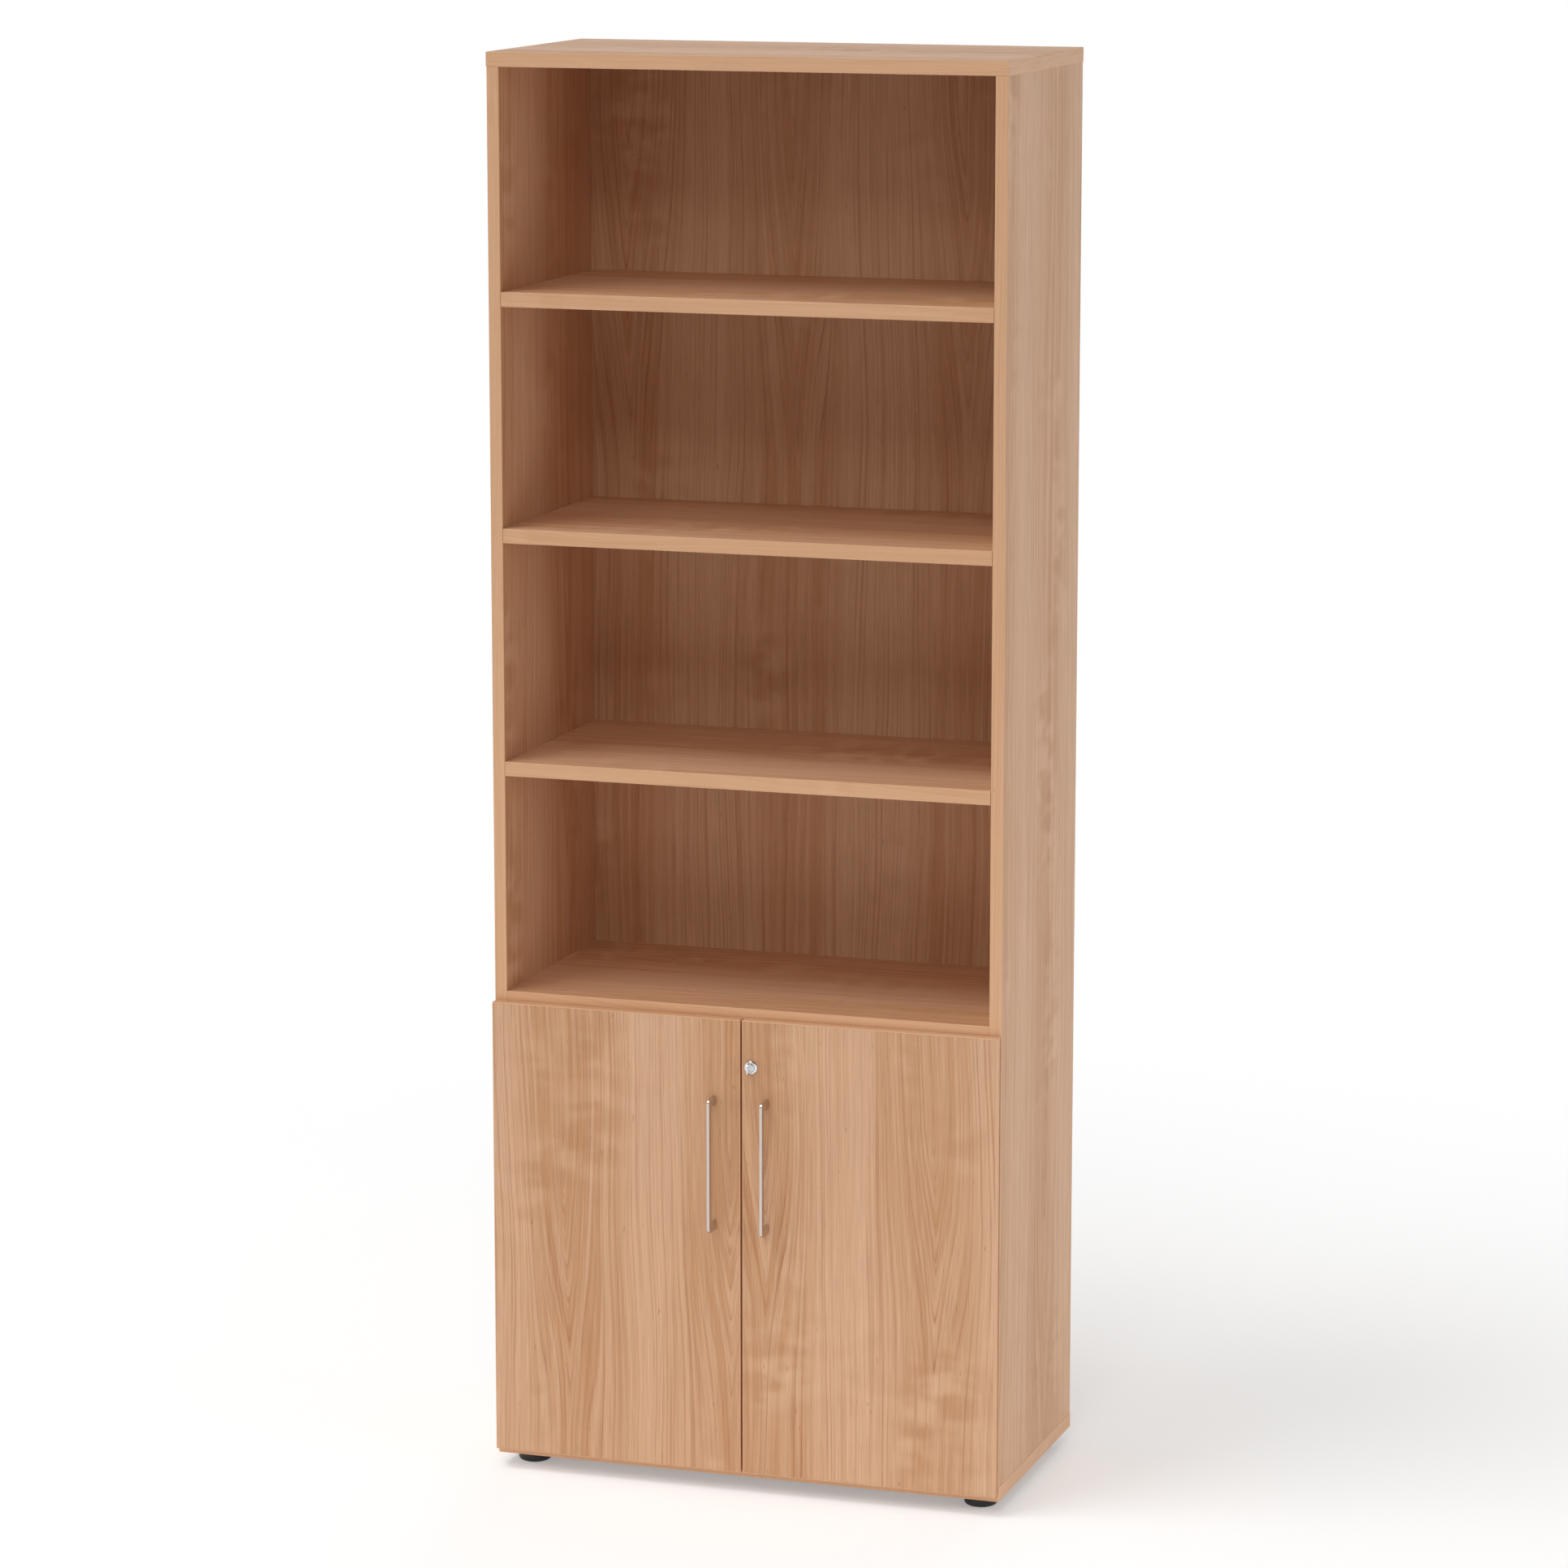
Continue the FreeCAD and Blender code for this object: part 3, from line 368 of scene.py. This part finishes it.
# Hinges: two concealed cup hinges a door, pressed from steel sheet and nickel plated. The cup is let into
# the door, and the arm is clamped on a plate on the side panel.
hinge_nickel = metal("hinge_nickel", shade(224, 227, 231), 0.36, 0.06, "Y")
for side in ("left", "right"):
    paint("hinge_pins_" + side, hinge_nickel)
    for level in ("upper", "lower"):
        for piece in ("cup", "arm", "plate"):
            paint("hinge_" + piece + "_" + side + "_" + level, hinge_nickel)


# Screws: cold-headed steel, zinc plated, with a pan head and a cross recess. Wood screws hold the cups, the
# keeper and the bolt, system screws the hinge plates, machine screws the handles and the cam.
head_height = 0.0022
head_round = 0.0006
head_sides = 40
shank_sides = 24
recess_depth = 0.0014
recess_width = 0.0011
recess_reach = 1.2
recess_taper = 0.45
point_length = 0.002
smooth_below = math.radians(35.0)
merge_distance = 0.000001
shank_of_head = {0.0035: 0.00175, 0.0042: 0.0025, 0.0040: 0.0020}
bright_zinc = metal("bright_zinc", shade(198, 200, 203), 0.30, 0.08, "Z")


def only(piece):
    """Makes this piece the selected and active one."""
    bpy.ops.object.select_all(action="DESELECT")
    piece.select_set(True)
    bpy.context.view_layer.objects.active = piece


def applied(piece):
    """Puts the place and size of a piece into its mesh."""
    only(piece)
    bpy.ops.object.transform_apply(location=True, rotation=True, scale=True)
    return piece


def screw_head(radius):
    """A pan head that sits on the origin, with a rounded rim."""
    bpy.ops.object.select_all(action="DESELECT")
    bpy.ops.mesh.primitive_cylinder_add(
        vertices=head_sides, radius=radius, depth=head_height, location=(0.0, 0.0, head_height / 2)
    )
    head = applied(bpy.context.object)
    bpy.ops.object.mode_set(mode="EDIT")
    bpy.ops.mesh.select_mode(type="EDGE")
    bpy.ops.mesh.select_all(action="DESELECT")
    bpy.ops.object.mode_set(mode="OBJECT")
    corners = head.data.vertices
    for edge in head.data.edges:
        edge.select = all(corners[corner].co.z > head_height * 0.9 for corner in edge.vertices)
    bpy.ops.object.mode_set(mode="EDIT")
    bpy.ops.mesh.bevel(offset=head_round, segments=4, affect="EDGES")
    bpy.ops.object.mode_set(mode="OBJECT")
    return head


def cut_slot(head, radius, long_way):
    """Cuts one of the two tapered slots of the cross recess into a head."""
    reach = [recess_width, recess_width, recess_depth * 2]
    reach[long_way] = radius * recess_reach
    bpy.ops.object.select_all(action="DESELECT")
    bpy.ops.mesh.primitive_cube_add(size=1.0, location=(0.0, 0.0, head_height))
    cutter = bpy.context.object
    cutter.scale = reach
    applied(cutter)
    for corner in cutter.data.vertices:
        if corner.co.z < head_height:
            corner.co[long_way] *= recess_taper
    only(head)
    cut = head.modifiers.new("recess", "BOOLEAN")
    cut.operation = "DIFFERENCE"
    cut.solver = "EXACT"
    cut.object = cutter
    bpy.ops.object.modifier_apply(modifier=cut.name)
    only(cutter)
    bpy.ops.object.delete()


def modelled_screw(head_radius, length):
    """One screw on the origin, its head above the seat and its shank below."""
    screw = screw_head(head_radius)
    for long_way in (0, 1):
        cut_slot(screw, head_radius, long_way)
    shank_radius = shank_of_head[head_radius]
    straight = length - point_length
    bpy.ops.object.select_all(action="DESELECT")
    bpy.ops.mesh.primitive_cylinder_add(
        vertices=shank_sides, radius=shank_radius, depth=straight, location=(0.0, 0.0, -straight / 2)
    )
    shank = bpy.context.object
    bpy.ops.mesh.primitive_cone_add(
        vertices=shank_sides, radius1=shank_radius / 2, radius2=shank_radius, depth=point_length,
        location=(0.0, 0.0, -straight - point_length / 2)
    )
    point = bpy.context.object
    only(screw)
    shank.select_set(True)
    point.select_set(True)
    bpy.ops.object.join()
    bpy.ops.object.shade_smooth_by_angle(angle=smooth_below)
    return screw


def loose_boxes(node):
    """Low and high corners of every separate solid in a part of the frame."""
    copy = parts[node].copy()
    copy.data = parts[node].data.copy()
    bpy.context.scene.collection.objects.link(copy)
    only(copy)
    bpy.ops.object.mode_set(mode="EDIT")
    bpy.ops.mesh.select_all(action="SELECT")
    bpy.ops.mesh.remove_doubles(threshold=merge_distance)
    bpy.ops.mesh.separate(type="LOOSE")
    bpy.ops.object.mode_set(mode="OBJECT")
    boxes = []
    for solid in bpy.context.selected_objects:
        places = [solid.matrix_world @ corner.co for corner in solid.data.vertices]
        low = [min(place[axis] for place in places) for axis in range(3)]
        high = [max(place[axis] for place in places) for axis in range(3)]
        boxes.append((low, high))
    bpy.ops.object.delete()
    return boxes


models = {}


def screw_in(low, high, head_way):
    """A copy of the screw that fits a solid of the frame, with its head on that side."""
    axis = max(range(3), key=lambda side: abs(head_way[side]))
    widths = [high[side] - low[side] for side in range(3) if side != axis]
    head_radius = min(shank_of_head, key=lambda radius: abs(2 * radius - max(widths)))
    length = round(high[axis] - low[axis] - head_height, 5)
    if (head_radius, length) not in models:
        models[head_radius, length] = modelled_screw(head_radius, length)
    only(models[head_radius, length])
    bpy.ops.object.duplicate(linked=False)
    screw = bpy.context.object
    seat = [(low[side] + high[side]) / 2 for side in range(3)]
    seat[axis] = high[axis] - head_height if head_way[axis] > 0 else low[axis] + head_height
    screw.location = seat
    screw.rotation_euler = Vector(head_way).to_track_quat("Z", "Y").to_euler()
    return applied(screw)


screw_sets = {
    "hinge_plate_screws_left": ("carcass", (1, 0, 0)),
    "hinge_plate_screws_right": ("carcass", (-1, 0, 0)),
    "hinge_cup_screws_left": ("door_left", (0, 1, 0)),
    "hinge_cup_screws_right": ("door_right", (0, 1, 0)),
    "handle_screws_left": ("door_left", (0, 1, 0)),
    "handle_screws_right": ("door_right", (0, 1, 0)),
    "lock_keeper_screws": ("door_left", (0, 1, 0)),
    "bolt_screws": ("door_left", (0, 1, 0)),
    "lock_cam_screw": ("lock_core", (0, 1, 0)),
}
for node, (body, head_way) in screw_sets.items():
    screws = [screw_in(low, high, head_way) for low, high in loose_boxes(node)]
    only(screws[0])
    for other in screws[1:]:
        other.select_set(True)
    if len(screws) > 1:
        bpy.ops.object.join()
    piece = bpy.context.object
    piece.name = "cross_" + node
    piece.data.materials.append(bright_zinc)
    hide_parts(node)
    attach(piece, body)
for model in models.values():
    only(model)
    bpy.ops.object.delete()


# Slide bolt: a dark moulded guide, screwed to the back of the left door, with a round nickel-plated rod
# that slides up into the fixed shelf.
grain_waves = 900.0
grain_depth = 0.00015
grain_gloss = 0.08
grain_lightness = 1.5


def moulded(name, colour, roughness):
    """Moulded plastic or rubber, or turned wood, with a fine grain."""
    finish, tree, skin = new_finish(name)
    where = tree.nodes.new("ShaderNodeTexCoord")
    grain = cloudy(tree, where.outputs["Object"], grain_waves, grain_waves, grain_waves, detail=3.0)
    spread = span(tree, grain, 0.3, 0.7, roughness - grain_gloss, roughness + grain_gloss)
    tree.links.new(spread, skin.inputs["Roughness"])
    lighter = tuple(c * grain_lightness for c in colour[:3]) + (1.0,)
    tree.links.new(tinted(tree, grain, colour, lighter), skin.inputs["Base Color"])
    bump = tree.nodes.new("ShaderNodeBump")
    bump.inputs["Strength"].default_value = 0.3
    bump.inputs["Distance"].default_value = grain_depth
    tree.links.new(grain, bump.inputs["Height"])
    tree.links.new(bump.outputs[0], skin.inputs["Normal"])
    return finish


paint("bolt_guide", moulded("dark_plastic", shade(52, 44, 38), 0.5))
paint("bolt_rod", metal("rod_nickel", shade(206, 203, 198), 0.26, 0.06, "Z"))


# Door bumpers: soft pale rubber dots, glued to the back of each door near its meeting edge, one high and
# one low. They stand between the door and the front edges of the fixed shelf and the base panel.
pale_rubber = moulded("pale_rubber", shade(186, 186, 181), 0.6)
paint("door_bumpers_left", pale_rubber)
paint("door_bumpers_right", pale_rubber)


# Levelling feet: a round black pad of moulded plastic on a steel stud. The stud screws into a plated
# insert, which is let into the base panel from below.
black_plastic = moulded("black_plastic", shade(26, 26, 27), 0.5)
stud_steel = metal("stud_steel", shade(196, 197, 199), 0.30, 0.08, "Z")
for place in ("front_left", "front_right", "rear_left", "rear_right"):
    paint("foot_pad_" + place, black_plastic)
    paint("foot_stud_" + place, stud_steel)
paint("foot_inserts", stud_steel)


# Shelf pins and dowels: turned steel pins under the loose shelves, and turned beech dowels in the joints
# of the carcass.
paint("shelf_pins", metal("pin_nickel", shade(206, 203, 198), 0.26, 0.06, "X"))
paint("carcass_dowels", moulded("beech", shade(208, 176, 138), 0.7))


# Studio: a pale floor that keeps a soft shadow and fades to white, white surroundings with a dark ceiling
# for the metal to mirror, soft lamps on all sides, and the camera where the photograph was taken.
floor_radius = 14.0
floor_sides = 96
floor_drop = 0.0005
floor_tone = 0.80
floor_lift = 0.30
fade_start = 0.9
fade_end = 3.0
bounce_start = 0.8
bounce_near = 0.85
bounce_far = 0.25


def seen_share(tree):
    """1 for a ray that shows the surroundings, straight or by way of metal, and 0 for one that lights."""
    ray = tree.nodes.new("ShaderNodeLightPath")
    seen = computed(tree, "MAXIMUM", ray.outputs["Is Camera Ray"], ray.outputs["Is Glossy Ray"])
    return computed(tree, "MAXIMUM", seen, ray.outputs["Is Transmission Ray"])


bpy.ops.object.select_all(action="DESELECT")
bpy.ops.mesh.primitive_circle_add(
    vertices=floor_sides, radius=floor_radius, fill_type="NGON", location=(0.0, 0.0, -floor_drop)
)
floor = bpy.context.object
floor.name = "studio_floor"
floor_paint = bpy.data.materials.new("floor_paint")
floor_paint.use_nodes = True
tree = floor_paint.node_tree
tree.nodes.clear()
matt = tree.nodes.new("ShaderNodeBsdfDiffuse")
lift = tree.nodes.new("ShaderNodeEmission")
lift.inputs["Color"].default_value = (1.0, 1.0, 1.0, 1.0)
glow = tree.nodes.new("ShaderNodeEmission")
glow.inputs["Color"].default_value = (1.0, 1.0, 1.0, 1.0)
where = tree.nodes.new("ShaderNodeTexCoord")
far = tree.nodes.new("ShaderNodeVectorMath")
far.operation = "LENGTH"
tree.links.new(where.outputs["Object"], far.inputs[0])
seen = seen_share(tree)
tree.links.new(computed(tree, "MULTIPLY", seen, floor_lift), lift.inputs["Strength"])
bounce = span(tree, far.outputs["Value"], bounce_start, fade_end, bounce_near, bounce_far)
tree.links.new(choose(tree, seen, bounce, floor_tone), matt.inputs["Color"])
near_floor = tree.nodes.new("ShaderNodeAddShader")
tree.links.new(matt.outputs[0], near_floor.inputs[0])
tree.links.new(lift.outputs[0], near_floor.inputs[1])
faded = computed(tree, "MULTIPLY", span(tree, far.outputs["Value"], fade_start, fade_end), seen)
blend = tree.nodes.new("ShaderNodeMixShader")
tree.links.new(faded, blend.inputs[0])
tree.links.new(near_floor.outputs[0], blend.inputs[1])
tree.links.new(glow.outputs[0], blend.inputs[2])
out = tree.nodes.new("ShaderNodeOutputMaterial")
tree.links.new(blend.outputs[0], out.inputs["Surface"])
floor.data.materials.append(floor_paint)

sky_level = 0.31
ceiling_level = 0.08
ceiling_from = 0.34
ceiling_full = 0.62
world = bpy.data.worlds.new("white_studio")
bpy.context.scene.world = world
world.use_nodes = True
tree = world.node_tree
sky = tree.nodes["Background"]
sky.inputs["Color"].default_value = (1.0, 1.0, 1.0, 1.0)
where = tree.nodes.new("ShaderNodeTexCoord")
upward = tree.nodes.new("ShaderNodeSeparateXYZ")
tree.links.new(where.outputs["Object"], upward.inputs[0])
mirrored_sky = span(tree, upward.outputs["Z"], ceiling_from, ceiling_full, 1.0, ceiling_level)
ray = tree.nodes.new("ShaderNodeLightPath")
backdrop = choose(tree, ray.outputs["Is Glossy Ray"], 1.0, mirrored_sky)
tree.links.new(choose(tree, seen_share(tree), sky_level, backdrop), sky.inputs["Strength"])


def soft_lamp(name, azimuth, elevation, distance, size, level, mirrored=False):
    """A square lamp aimed at the middle of the bookcase, which the metal shows only if it is mirrored."""
    middle = (cad_low + cad_high) / 2
    turn = math.radians(azimuth)
    rise = math.radians(elevation)
    way = Vector((math.sin(turn) * math.cos(rise), -math.cos(turn) * math.cos(rise), math.sin(rise)))
    lamp = bpy.data.lights.new(name, "AREA")
    lamp.size = size
    lamp.energy = level * math.pi ** 2 * distance ** 2
    holder = bpy.data.objects.new(name, lamp)
    holder.location = middle + way * distance
    holder.rotation_euler = (-way).to_track_quat("-Z", "Y").to_euler()
    holder.visible_glossy = mirrored
    bpy.context.scene.collection.objects.link(holder)


soft_lamp("lamp_front", azimuth=10.0, elevation=40.0, distance=10.0, size=3.0, level=0.15)
soft_lamp("lamp_high", azimuth=-45.0, elevation=60.0, distance=10.0, size=5.0, level=0.40, mirrored=True)
soft_lamp("lamp_low", azimuth=5.0, elevation=-24.0, distance=2.0, size=0.8, level=0.13)
soft_lamp("lamp_left", azimuth=-82.0, elevation=-8.0, distance=4.5, size=3.0, level=0.55)
soft_lamp("lamp_right", azimuth=82.0, elevation=-8.0, distance=4.5, size=3.0, level=0.48)
soft_lamp("lamp_back", azimuth=180.0, elevation=4.0, distance=8.0, size=5.0, level=0.45)

camera_place = (2.5775, -7.7953, 2.5865)
camera_turn = 18.271
camera_dip = 10.546
lens = 126.75
view = bpy.data.cameras.new("camera")
view.sensor_width = 36.0
view.lens = lens
camera = bpy.data.objects.new("camera", view)
camera.location = camera_place
camera.rotation_euler = (math.radians(90.0 - camera_dip), 0.0, math.radians(camera_turn))
bpy.context.scene.collection.objects.link(camera)
bpy.context.scene.camera = camera
bpy.context.scene.view_settings.view_transform = "Standard"
